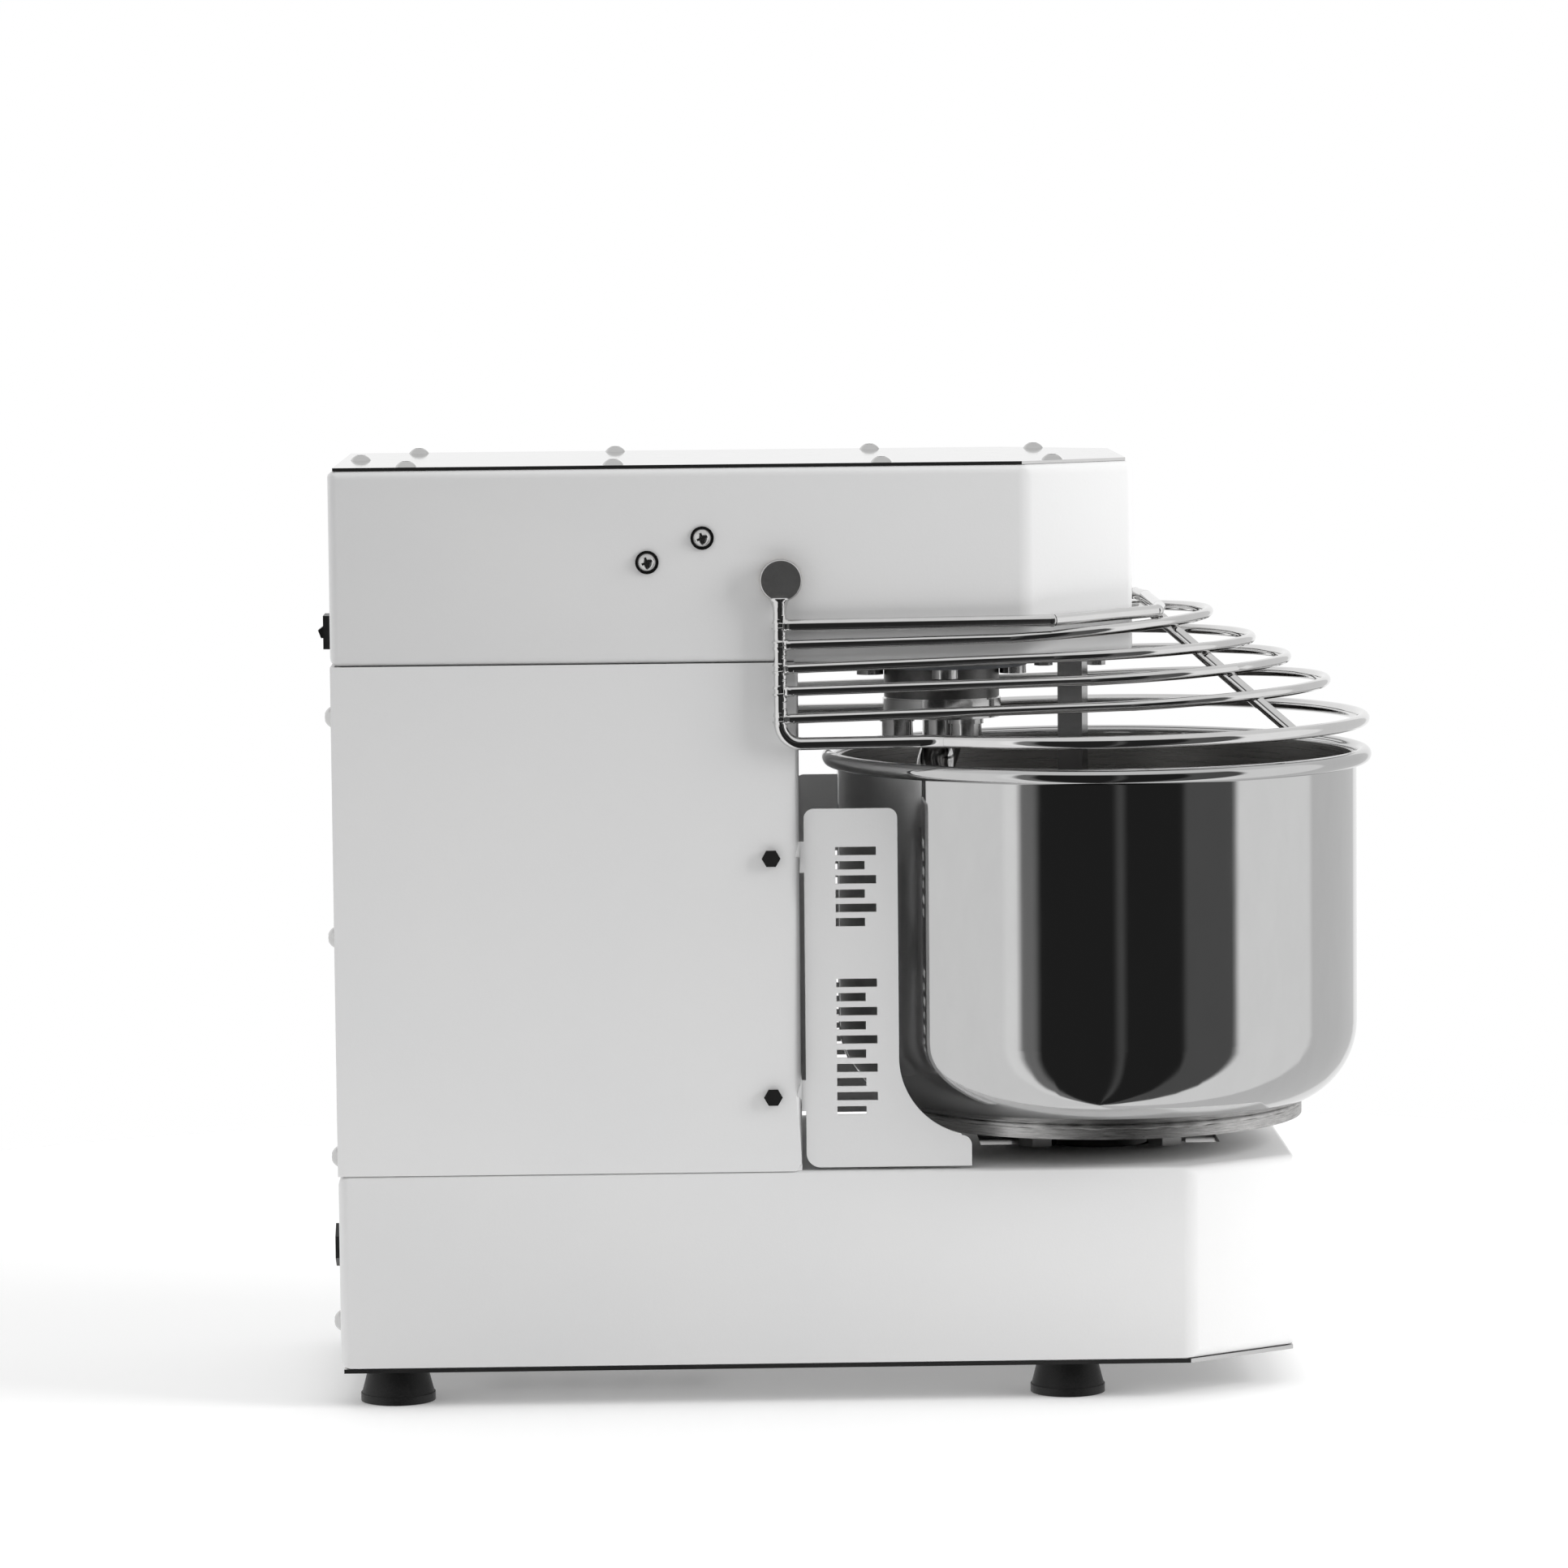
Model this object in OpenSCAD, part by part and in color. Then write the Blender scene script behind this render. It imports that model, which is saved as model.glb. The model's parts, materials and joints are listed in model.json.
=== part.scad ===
// Spiral dough mixer, 10 litre class: fixed head, turning bowl, lifting wire guard.
// Millimetres, Z up, +X towards the bowl, symmetric about Y = 0, feet on Z = 0.

/* [Body] */
// half width of the base, the column and the head
body_half = 100; // [90:0.5:108]
// sheet thickness of the housings
sheet = 2; // [1:0.1:3]
// how far the front corner chamfers run along X
cham_x = 54; // [30:1:70]
// half width of the front faces between the chamfers
front_half = 64; // [45:1:80]
// height of the head housing
head_h = 95.5; // [85:0.5:110]

/* [Bowl] */
// outside radius of the bowl wall
bowl_r = 131; // [115:0.5:135]
// height of the rolled rim above the feet
rim_z = 311.2; // [290:0.2:316]
// radius of the rolled rim bead
bead_r = 3.9; // [3:0.1:4.5]
// wall thickness of the bowl
bowl_t = 2; // [1:0.1:3]
// outside radius of the bottom corner of the bowl
bowl_corner = 42; // [25:1:60]

/* [Spiral] */
// thickness of the spiral rod
rod_d = 19.6; // [14:0.2:20]
// radius swept by the middle of the rod
sweep_r = 37; // [25:0.5:38]
// turns of the spiral
spiral_turns = 1.75; // [1:0.05:2.5]

/* [Guard] */
// thickness of the four middle hoops
hoop_d = 5; // [4:0.1:6]
// thickness of the arms and of the lowest hoop
arm_d = 6.2; // [5:0.1:7]
// distance of the hoop legs from the middle plane
leg_y = 105.5; // [104:0.1:110]

/* [Feet] */
// height of the rubber feet
foot_h = 17.5; // [12:0.5:25]
// bottom diameter of the rubber feet
foot_d = 37; // [28:1:44]

/* [Hidden] */
$fn = 96;
e = 0.01;
steel = [0.80, 0.80, 0.82];
dark = [0.22, 0.22, 0.23];
white = [0.95, 0.95, 0.94];
black = [0.08, 0.08, 0.08];
brass_c = [0.80, 0.62, 0.30];

rear_x = -256;
head_front = 138.4;
base_front = 218.5;
col_front = -28;
plate_t = 2;
flange_w = 16;
base_z0 = foot_h + plate_t;
base_z1 = 115.5;
head_z0 = 366;
head_z1 = head_z0 + head_h;
lid_t = 1.5;
lid_z1 = head_z1 + lid_t;

spiral_x = 46.5;
bowl_x = 124.2;
motor_x = -178;
jack_x = -100;
pivot_x = -36;
pivot_z = 406.6;

chain_p = 9.525;
tooth_t = 5.2;
level_a = 390;
level_b = 412;
level_c = 50;
teeth_motor_a = 18;
teeth_spiral = 36;
teeth_motor_b = 12;
teeth_jack_b = 30;
teeth_jack_c = 11;
teeth_bowl = 57;

rc_x = rear_x;
bar_x = 112.6;
bar_a = 12.6;
bar_turn = 17;
bar_z0 = 150;
hub_r = 25;
disc_r = 103;
disc_t = 5;
disc_z0 = 129.7;
pan_z0 = disc_z0 + disc_t;
hub_flange_t = 6;
slot_half_y = 18;
slot_half_x = 60.4;

foot_pos = [[-229, 74], [-229, -74], [103.5, 74], [103.5, -74]];
rear_screw_z = [341, 232.5, 124];
lid_screw_x = [-218, -117, 14, 98];
lid_screw_pos = [for (x = lid_screw_x) for (s = [-1, 1]) [x, s * (x > 80 ? body_half - 21 : body_half - 13)]];

// ---------- helpers ----------
module plan(x0, x1, half, fhalf, cx) {
  polygon([[x0, -half], [x1 - cx, -half], [x1, -fhalf], [x1, fhalf], [x1 - cx, half], [x0, half]]);
}
module box(x0, x1, y0, y1, z0, z1) {
  translate([x0, y0, z0])
    cube([x1 - x0, y1 - y0, z1 - z0]);
}
module disc(x, y, z0, z1, r) {
  translate([x, y, z0])
    cylinder(h = z1 - z0, r = r);
}
module ring(x, y, z0, z1, ro, ri) {
  difference() {
    disc(x, y, z0, z1, ro);
    disc(x, y, z0 - 1, z1 + 1, ri);
  }
}
module rod(p, q, d) {
  v = q - p;
  l = norm(v);
  b = acos(v[2] / l);
  c = atan2(v[1], v[0]);
  translate(p)
    rotate([0, b, c])
      cylinder(h = l, d = d, $fn = 16);
}
bend_extra = 0.14;
module arc_wire(r, d, a0, a1) {
  rotate([0, 0, a0])
    rotate_extrude(angle = a1 - a0, $fn = 72)
      translate([r, 0])
        circle(d = d + bend_extra, $fn = 16);
}
module dome(d, h) {
  r = (d * d / 4 + h * h) / (2 * h);
  intersection() {
    translate([0, 0, h - r])
      sphere(r = r, $fn = 48);
    cylinder(h = h, d = d, $fn = 32);
  }
}
module dome_screw(d, h, shank_d, shank_l) {
  difference() {
    union() {
      dome(d, h);
      translate([0, 0, -shank_l])
        cylinder(h = shank_l + 0.3, d = shank_d, $fn = 24);
    }
    translate([0, 0, h - 1.6])
      cylinder(h = 3, d = 4.6, $fn = 6);
  }
}
module hex_screw(af, h, shank_d, shank_l) {
  cylinder(h = h, d = af / cos(30), $fn = 6);
  translate([0, 0, -shank_l])
    cylinder(h = shank_l + 0.1, d = shank_d, $fn = 24);
}
module cap_screw(d, h, shank_d, shank_l, af) {
  difference() {
    union() {
      cylinder(h = h, d = d, $fn = 48);
      translate([0, 0, -shank_l])
        cylinder(h = shank_l + 0.1, d = shank_d, $fn = 24);
    }
    translate([0, 0, h * 0.45])
      cylinder(h = h, d = af / cos(30), $fn = 6);
  }
}
function pitch_r(t) = chain_p / sin(180 / t) / 2;
module sprocket(t, bore, hub, hub_l) {
  pr = pitch_r(t);
  difference() {
    union() {
      cylinder(h = tooth_t, r = pr + 2.4);
      cylinder(h = tooth_t + hub_l, d = hub);
    }
    translate([0, 0, -1])
      cylinder(h = tooth_t + hub_l + 2, d = bore, $fn = 48);
    for (i = [0:t - 1])
      rotate([0, 0, i * 360 / t])
        translate([pr, 0, -1])
          cylinder(h = tooth_t + 2, d = 6.5, $fn = 16);
  }
}
module strand(d, ra, rb) {
  r1 = ra - 0.05;
  r2 = rb - 0.05;
  a = acos((r1 - r2) / d);
  polygon([
    [0, 0], [r1 * cos(a), r1 * sin(a)], [d + r2 * cos(a), r2 * sin(a)],
    [d, 0], [d + r2 * cos(a), -r2 * sin(a)], [r1 * cos(a), -r1 * sin(a)]
  ]);
}
module belt_shape(d, r1, r2) {
  circle(r = r1);
  translate([d, 0])
    circle(r = r2);
  strand(d, r1, r2);
}
module chain_loop(x0, x1, z, t0, t1) {
  d = x1 - x0;
  r0 = pitch_r(t0);
  r1 = pitch_r(t1);
  a = acos((r0 - r1) / d);
  run = d * sin(a);
  s0 = sqrt(11 * r0 + 31) + 1.5;
  s1 = sqrt(11 * r1 + 31) + 1.5;
  usable = run - s0 - s1;
  n = floor(usable / chain_p);
  start = s0 + (usable - n * chain_p) / 2;
  translate([x0, 0, z]) {
    for (s = [-1, 1])
      translate([0, 0, s * 4.7 - 1.7])
        linear_extrude(3.4)
          difference() {
            belt_shape(d, r0 + 4.1, r1 + 4.1);
            belt_shape(d, r0 - 4.1, r1 - 4.1);
          }
    for (s = [-1, 1])
      for (i = [0:n])
        translate([r0 * cos(a), s * r0 * sin(a), 0])
          rotate([0, 0, s * (a - 90)])
            translate([start + i * chain_p, 0, -3.2])
              cylinder(h = 6.4, d = 6.2, $fn = 16);
  }
}
module bearing(x, y, z0, w, ro, ri) {
  translate([x, y, z0])
    difference() {
      cylinder(h = w, r = ro);
      translate([0, 0, -1])
        cylinder(h = w + 2, r = ri);
      for (z = [-1, w - 0.8])
        translate([0, 0, z])
          difference() {
            cylinder(h = 1.8, r = ri + (ro - ri) * 0.72);
            translate([0, 0, -1])
              cylinder(h = 4, r = ri + (ro - ri) * 0.30);
          }
    }
}
module sweep_tube(pts, r, m) {
  n = len(pts);
  tan_v = [for (i = [0:n - 1]) let (a = pts[max(i - 1, 0)], b = pts[min(i + 1, n - 1)]) (b - a) / norm(b - a)];
  verts = [
    for (i = [0:n - 1])
      let (t = (i == 0) ? [0, 0, -1] : tan_v[i], u0 = cross(t, [0, 1, 0.001]), u = u0 / norm(u0), w = cross(t, u))
        for (j = [0:m - 1]) pts[i] + r[i] * (cos(360 * j / m) * u + sin(360 * j / m) * w)
  ];
  faces = concat(
    [[for (j = [0:m - 1]) j]],
    [for (i = [0:n - 2]) for (j = [0:m - 1]) [i * m + j, (i + 1) * m + j, (i + 1) * m + (j + 1) % m, i * m + (j + 1) % m]],
    [[for (j = [m - 1:-1:0]) (n - 1) * m + j]]
  );
  polyhedron(points = verts, faces = faces, convexity = 6);
}

// ---------- base ----------
module base_housing() {
  color(white)
    difference() {
      translate([0, 0, base_z0])
        linear_extrude(base_z1 - base_z0)
          plan(rear_x, base_front, body_half, front_half, cham_x);
      translate([0, 0, base_z0 + sheet])
        linear_extrude(base_z1 - base_z0 - 2 * sheet)
          plan(rear_x + sheet, base_front - sheet, body_half - sheet, front_half - sheet * 0.7, cham_x - sheet * 0.4);
      translate([0, 0, base_z0 - 1])
        linear_extrude(sheet + 3)
          plan(rear_x + flange_w, base_front - flange_w, body_half - flange_w, front_half - flange_w * 0.7, cham_x - flange_w * 0.4);
      box(bowl_x - slot_half_x, bowl_x + slot_half_x, -slot_half_y, slot_half_y, base_z1 - 5, base_z1 + 5);
      disc(bowl_x, 0, base_z1 - 5, base_z1 + 5, hub_r + 6);
      disc(jack_x, 0, base_z1 - 5, base_z1 + 5, 22);
      for (s = [-1, 1])
        translate([rear_x - 1, s * 86, 42])
          rotate([0, 90, 0])
            cylinder(h = 5, d = 5.2, $fn = 24);
      translate([rear_x - 1, 0, 66])
        rotate([0, 90, 0])
          cylinder(h = 5, d = 16.2, $fn = 32);
    }
}
module bottom_plate() {
  color(steel)
    difference() {
      translate([0, 0, foot_h])
        linear_extrude(plate_t)
          plan(rear_x + 1.5, base_front - 1.5, body_half - 1.5, front_half - 1.5, cham_x);
      for (p = foot_pos)
        disc(p[0], p[1], foot_h - 1, foot_h + 5, 3.2);
      for (x = [-180:30:-90])
        for (s = [-1, 1])
          box(x, x + 12, s * 30 - 18, s * 30 + 18, foot_h - 1, foot_h + 5);
    }
}
module rubber_feet() {
  color(black)
    for (p = foot_pos)
      translate([p[0], p[1], 0])
        difference() {
          union() {
            cylinder(h = 4, d = foot_d, $fn = 48);
            translate([0, 0, 4])
              cylinder(h = foot_h - 4, d1 = foot_d - 1, d2 = 29, $fn = 48);
          }
          translate([0, 0, -1])
            cylinder(h = foot_h * 0.55 + 1, d = 14, $fn = 32);
          cylinder(h = foot_h + 1, d = 6.4, $fn = 24);
        }
}
module foot_screws() {
  color(steel)
    for (p = foot_pos)
      translate([p[0], p[1], foot_h * 0.55]) {
        translate([0, 0, -3])
          difference() {
            cylinder(h = 3, d = 11, $fn = 32);
            translate([0, 0, -1])
              cylinder(h = 2.6, d = 4.6, $fn = 6);
          }
        translate([0, 0, -0.1])
          cylinder(h = foot_h * 0.45 + plate_t + 8, d = 6, $fn = 24);
      }
  color(steel)
    for (p = foot_pos)
      translate([p[0], p[1], foot_h + plate_t])
        difference() {
          cylinder(h = 5, d = 10 / cos(30), $fn = 6);
          translate([0, 0, -1])
            cylinder(h = 8, d = 6.1, $fn = 24);
        }
}
module cable_gland() {
  color(black)
    translate([rear_x - 6.5, 0, 66])
      rotate([0, 90, 0])
        difference() {
          union() {
            cylinder(h = 6.5, d = 19 / cos(30), $fn = 6);
            cylinder(h = 14, d = 16, $fn = 32);
            translate([0, 0, 8.5])
              cylinder(h = 4, d = 21 / cos(30), $fn = 6);
          }
          translate([0, 0, -1])
            cylinder(h = 20, d = 7, $fn = 24);
        }
}

// ---------- column ----------
module column_housing() {
  color(white)
    difference() {
      union() {
        difference() {
          box(rear_x + 2, col_front, -body_half, body_half, base_z1, head_z0);
          box(rear_x - 5, col_front - sheet, -body_half + sheet, body_half - sheet, base_z1 - 1, head_z0 + 1);
        }
        for (s = [-1, 1])
          box(rc_x + 2, rc_x + 4, s * 88.25 - 10.25, s * 88.25 + 10.25, base_z1 + 1, head_z0 - 1);
      }
      for (s = [-1, 1])
        for (z = rear_screw_z)
          translate([rc_x, s * 88, z])
            rotate([0, 90, 0])
              cylinder(h = 30, d = 5.2, center = true, $fn = 24);
      for (s = [-1, 1])
        for (z = [262.5, 144.8]) {
          box(col_front - 5, col_front + 5, s * (body_half - 3) - 1.1, s * (body_half - 3) + 1.1, z - 0.1, z + 15.7);
          translate([-42, s * body_half, z + 7.8])
            rotate([90, 0, 0])
              cylinder(h = 12, d = 5.4, center = true, $fn = 24);
        }
    }
}
module rear_cover() {
  color(white)
    difference() {
      box(rc_x, rc_x + 2, -body_half, body_half, base_z1, head_z0);
      for (s = [-1, 1])
        for (z = rear_screw_z)
          translate([rc_x, s * 88, z])
            rotate([0, 90, 0])
              cylinder(h = 30, d = 5.2, center = true, $fn = 24);
      for (i = [0:7])
        box(rc_x - 1, rc_x + 5, -35, 35, 150 + i * 9, 153.5 + i * 9);
    }
}
module rear_screws() {
  color(steel) {
    for (s = [-1, 1])
      for (z = rear_screw_z)
        translate([rc_x, s * 88, z])
          rotate([0, -90, 0])
            dome_screw(10.6, 3.7, 5, 7);
    for (s = [-1, 1])
      translate([rear_x, s * 86, 42])
        rotate([0, -90, 0])
          dome_screw(10.6, 3.7, 5, 7);
  }
}
module side_plate(s) {
  y0 = s * (body_half - 3) - plate_t / 2;
  color(steel)
    translate([0, y0 + plate_t, 0])
      rotate([90, 0, 0])
        linear_extrude(plate_t)
          difference() {
            union() {
              difference() {
                polygon([[-25.8, 117], [55.5, 117], [55.5, 132.2], [59, 171], [20, 171], [20, 294], [-25.8, 294]]);
                translate([59, 171])
                  circle(r = 39);
                translate([50.5, 127.2])
                  difference() {
                    square([6, 6]);
                    circle(r = 5, $fn = 48);
                  }
                translate([-21.2, 289.4])
                  rotate([0, 0, 90])
                    difference() {
                      square([6, 6]);
                      circle(r = 4.6, $fn = 48);
                    }
                translate([15.4, 289.4])
                  difference() {
                    square([6, 6]);
                    circle(r = 4.6, $fn = 48);
                  }
                translate([-18.8, 124])
                  rotate([0, 0, 180])
                    difference() {
                      square([8, 8]);
                      circle(r = 7, $fn = 48);
                    }
              }
              for (z = [262.7, 145])
                translate([-52, z])
                  square([27, 15.3]);
            }
            for (z = [262.7, 145])
              translate([-42, z + 7.6])
                circle(d = 5.4, $fn = 24);
            for (z = slot_z)
              translate([-10.5, z])
                square([slot_w, 4.2]);
            for (z = slot_z2)
              translate([-10.5, z])
                square([slot_w * 0.72, 4.2]);
          }
}
slot_w = 20;
slot_z = [271, 257, 243, 206, 192, 178, 164, 150];
slot_z2 = [264, 250, 236, 199, 185, 171, 157, 143];
module side_plate_near() {
  side_plate(-1);
}
module side_plate_far() {
  side_plate(1);
}
module side_plate_screws() {
  color(steel)
    for (s = [-1, 1])
      for (z = [270.3, 152.6])
        translate([-42, s * body_half, z])
          rotate([-s * 90, 0, 0])
            hex_screw(8, 3.5, 5, 9);
}

// ---------- head ----------
module head_housing() {
  color(white)
    difference() {
      translate([0, 0, head_z0])
        linear_extrude(head_h)
          plan(rear_x, head_front, body_half, front_half, cham_x);
      translate([0, 0, head_z0 + sheet])
        linear_extrude(head_h - 2 * sheet)
          plan(rear_x + sheet, head_front - sheet, body_half - sheet, front_half - sheet * 0.7, cham_x - sheet * 0.4);
      translate([0, 0, head_z1 - 4])
        linear_extrude(6)
          plan(rear_x + 22, head_front - 24, body_half - 24, front_half - 24 * 0.7, cham_x - 24 * 0.4);
      lid_holes();
      disc(spiral_x, 0, head_z0 - 1, head_z0 + 5, 35.1);
      disc(motor_x, 0, head_z0 - 1, head_z0 + 5, 41);
      for (a = [45:90:315])
        disc(motor_x + 52 * cos(a), 52 * sin(a), head_z0 - 1, head_z0 + 5, 4.2);
      disc(jack_x, 0, head_z0 - 1, head_z0 + 5, 16);
      for (p = bar_bolts)
        disc(p[0], p[1], head_z0 - 1, head_z0 + 5, 2.7);
      for (p = spiral_bolts)
        disc(p[0], p[1], head_z0 - 1, head_z0 + 5, 4.2);
      translate([pivot_x, 0, pivot_z])
        rotate([90, 0, 0])
          cylinder(h = 300, d = 18.05, center = true, $fn = 48);
      for (p = side_screw_pos)
        translate([p[0], -body_half, p[1]])
          rotate([90, 0, 0])
            cylinder(h = 10, d = 5.2, center = true, $fn = 24);
      box(rear_x - 1, rear_x + 5, switch_y - 9, switch_y + 9, 376.6, 387.2);
    }
}
side_screw_pos = [[-101, 415.7], [-74, 427.3]];
switch_y = -70;
bar_bolts = [[97, 16], [97, -16], [123.5, 16], [123.5, -16]];
spiral_bolts = [for (a = [0, 90, 180, 270]) [spiral_x + 36 * cos(a), 36 * sin(a)]];
module lid_holes() {
  for (p = lid_screw_pos)
    disc(p[0], p[1], head_z1 - 5, lid_z1 + 1, 2.6);
  disc(rear_x + 12, 0, head_z1 - 5, lid_z1 + 1, 2.6);
}
module lid_plate() {
  color(steel)
    difference() {
      translate([0, 0, head_z1])
        linear_extrude(lid_t)
          plan(rear_x + 2.5, head_front - 3.2, body_half - 2.5, front_half - 2, cham_x - 1);
      lid_holes();
    }
}
module lid_screws() {
  color(steel) {
    for (p = lid_screw_pos)
      translate([p[0], p[1], lid_z1])
        dome_screw(10.4, 3, 5, 8);
    translate([rear_x + 12, 0, lid_z1])
      dome_screw(10.4, 3, 5, 8);
  }
}
module head_side_washers() {
  color(dark)
    for (p = side_screw_pos)
      translate([p[0], -body_half, p[1]])
        rotate([90, 0, 0])
          difference() {
            cylinder(h = 1, d = 11.4, $fn = 32);
            translate([0, 0, -1])
              cylinder(h = 3, d = 5.3, $fn = 24);
          }
}
module head_side_screws() {
  color(steel)
    for (p = side_screw_pos)
      translate([p[0], -body_half - 1, p[1]])
        rotate([90, 0, 0])
          difference() {
            union() {
              dome(8.9, 2.9);
              translate([0, 0, -12])
                cylinder(h = 12.2, d = 5, $fn = 24);
            }
            for (a = [0, 90])
              rotate([0, 0, a + 20])
                translate([-2.7, -0.6, 1.2])
                  cube([5.4, 1.2, 4]);
          }
}
module switch_bezel() {
  color(black)
    difference() {
      union() {
        box(rear_x - 4, rear_x, switch_y - 11, switch_y + 11, 373.7, 390.1);
        box(rear_x - 0.1, rear_x + 16, switch_y - 8.9, switch_y + 8.9, 376.7, 387.1);
      }
      box(rear_x - 5, rear_x + 9, switch_y - 7.5, switch_y + 7.5, 377.5, 386.3);
    }
  color(steel)
    translate([rear_x + 1, switch_y + 9, 381.9])
      rotate([90, 0, 0])
        cylinder(h = 18, d = 2.5, $fn = 24);
}
module switch_rocker() {
  color(black)
    translate([rear_x + 1, switch_y, 381.9])
      rotate([90, 0, 0])
        translate([0, 0, -7.3])
          linear_extrude(14.6)
            difference() {
              polygon([[-7.7, 0.9], [-6.2, -3.0], [2.5, -2.2], [2.5, 2.2], [-5.0, 2.9]]);
              circle(r = 1.3, $fn = 24);
            }
}

// ---------- drive inside the head and the column ----------
module drive_plate() {
  color(steel)
    difference() {
      box(-232, 91.5, -72, 72, head_z0 + sheet, head_z0 + sheet + 6);
      disc(spiral_x, 0, 360, 380, 35.1);
      disc(motor_x, 0, 360, 380, 41);
      disc(jack_x, 0, 360, 380, 16);
      for (p = spiral_bolts)
        disc(p[0], p[1], 360, 380, 4.2);
      for (a = [45:90:315])
        disc(motor_x + 52 * cos(a), 52 * sin(a), 360, 380, 4.2);
      for (a = [45:90:315])
        disc(jack_x + 26 * cos(a), 26 * sin(a), 360, 380, 3.2);
    }
}
module gearbox_housing() {
  color([0.35, 0.37, 0.40])
    difference() {
      union() {
        disc(motor_x, 0, head_z0 - 12, head_z0, 62);
        disc(motor_x, 0, head_z0 - 0.1, head_z0 + 6, 40);
        disc(motor_x, 0, 290, head_z0 - 11.9, 52);
      }
      disc(motor_x, 0, 300, head_z0 + 10, 10.5);
      disc(motor_x, 0, head_z0 - 2, head_z0 + 10, 18.05);
      for (a = [45:90:315])
        disc(motor_x + 52 * cos(a), 52 * sin(a), head_z0 - 13, 380, 4.2);
    }
}
module motor_body() {
  color([0.30, 0.33, 0.38])
    translate([motor_x, 0, 0])
      difference() {
        union() {
          translate([0, 0, 164])
            cylinder(h = 126, r = 54);
          for (i = [0:23])
            rotate([0, 0, i * 15])
              translate([53, -1.5, 172])
                cube([7, 3, 108]);
        }
        for (a = [0:90:270])
          rotate([0, 0, a + 45])
            translate([48, 0, 160])
              cylinder(h = 10, d = 5, $fn = 24);
      }
}
module motor_fan_cover() {
  color(dark)
    translate([motor_x, 0, 0])
      difference() {
        translate([0, 0, 136])
          cylinder(h = 28, r = 57);
        translate([0, 0, 138])
          cylinder(h = 30, r = 55);
        for (a = [0:30:330])
          rotate([0, 0, a])
            translate([18, -2.5, 130])
              cube([28, 5, 12]);
      }
}
module terminal_box() {
  color([0.30, 0.33, 0.38])
    difference() {
      box(motor_x - 34, motor_x + 34, 60.2, 92, 196, 256);
      box(motor_x - 31, motor_x + 31, 63, 89.5, 199, 257);
    }
  color(dark)
    box(motor_x - 34, motor_x + 34, 60.2, 92, 256, 258.5);
}
module motor_shaft() {
  color(steel) {
    disc(motor_x, 0, 302, 424, 10);
  }
}
module motor_sprockets() {
  color(dark) {
    translate([motor_x, 0, level_a - tooth_t / 2])
      sprocket(teeth_motor_a, 20.1, 34, 7);
    translate([motor_x, 0, level_b - tooth_t / 2])
      sprocket(teeth_motor_b, 20.1, 28, 6);
  }
}
module jack_shaft() {
  color(steel) {
    disc(jack_x, 0, 38, 424, 8);
  }
}
module jack_sprockets() {
  color(dark) {
    translate([jack_x, 0, level_b - tooth_t / 2])
      sprocket(teeth_jack_b, 16.1, 34, 6);
    translate([jack_x, 0, level_c - tooth_t / 2])
      sprocket(teeth_jack_c, 16.1, 25, 6);
  }
}
module jack_bearing_blocks() {
  color([0.35, 0.37, 0.40])
    for (z = [head_z0 + sheet + 6, 99.4])
      difference() {
        union() {
          disc(jack_x, 0, z, z + 5, 33);
          disc(jack_x, 0, z, z + 14, 19.8);
        }
        disc(jack_x, 0, z - 1, z + 15, 16.02);
        disc(jack_x, 0, z - 10, z + 20, 11);
        for (a = [45:90:315])
          disc(jack_x + 26 * cos(a), 26 * sin(a), z - 1, z + 7, 3.2);
      }
}
module jack_bracket() {
  color(steel)
    difference() {
      union() {
        box(jack_x - 34, jack_x + 34, -body_half + sheet, body_half - sheet, 93.4, 99.4);
        for (s = [-1, 1])
          box(jack_x - 34, jack_x + 34, s * (body_half - sheet - 2.5) - 2.5, s * (body_half - sheet - 2.5) + 2.5, 99.3, 113.5);
      }
      disc(jack_x, 0, 90, 102, 16);
      for (a = [45:90:315])
        disc(jack_x + 26 * cos(a), 26 * sin(a), 90, 102, 3.2);
    }
}
module chain_spiral() {
  color(dark)
    chain_loop(motor_x, spiral_x, level_a, teeth_motor_a, teeth_spiral);
}
module chain_jack() {
  color(dark)
    chain_loop(motor_x, jack_x, level_b, teeth_motor_b, teeth_jack_b);
}
module chain_bowl() {
  color(dark)
    chain_loop(jack_x, bowl_x, level_c, teeth_jack_c, teeth_bowl);
}

// ---------- spiral ----------
module spiral_housing() {
  color(steel)
    difference() {
      union() {
        disc(spiral_x, 0, 357.4, head_z0, 43);
        disc(spiral_x, 0, head_z0 - 0.1, 386, 35);
      }
      disc(spiral_x, 0, 350, 390, 22);
      disc(spiral_x, 0, 359, 390, 27.52);
      for (p = spiral_bolts)
        disc(p[0], p[1], 350, 367, 4.2);
      for (p = spiral_bolts)
        disc(p[0], p[1], 367, 400, 4.2);
    }
}
module spiral_bolts_set() {
  color(dark)
    for (p = spiral_bolts)
      translate([p[0], p[1], 357.4])
        rotate([180, 0, 0])
          cap_screw(13.5, 4.6, 8, 19, 5);
}
module spiral_bearings() {
  color(steel) {
    bearing(spiral_x, 0, 359.2, 13, 27.5, 15.04);
    bearing(spiral_x, 0, 372.6, 13, 27.5, 15.04);
  }
}
module spiral_shaft() {
  color(dark)
    difference() {
      union() {
        disc(spiral_x, 0, 341.6, 356.2, 29);
        disc(spiral_x, 0, 356.1, 358.8, 19);
        disc(spiral_x, 0, 358.7, 404, 15);
      }
      for (a = [60, 180, 300])
        disc(spiral_x + 22.4 * cos(a), 22.4 * sin(a), 341, 352.6, 5.1);
    }
}
module spiral_sprocket() {
  color(dark)
    translate([spiral_x, 0, level_a - tooth_t / 2])
      sprocket(teeth_spiral, 30.1, 48, 6);
}
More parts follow.
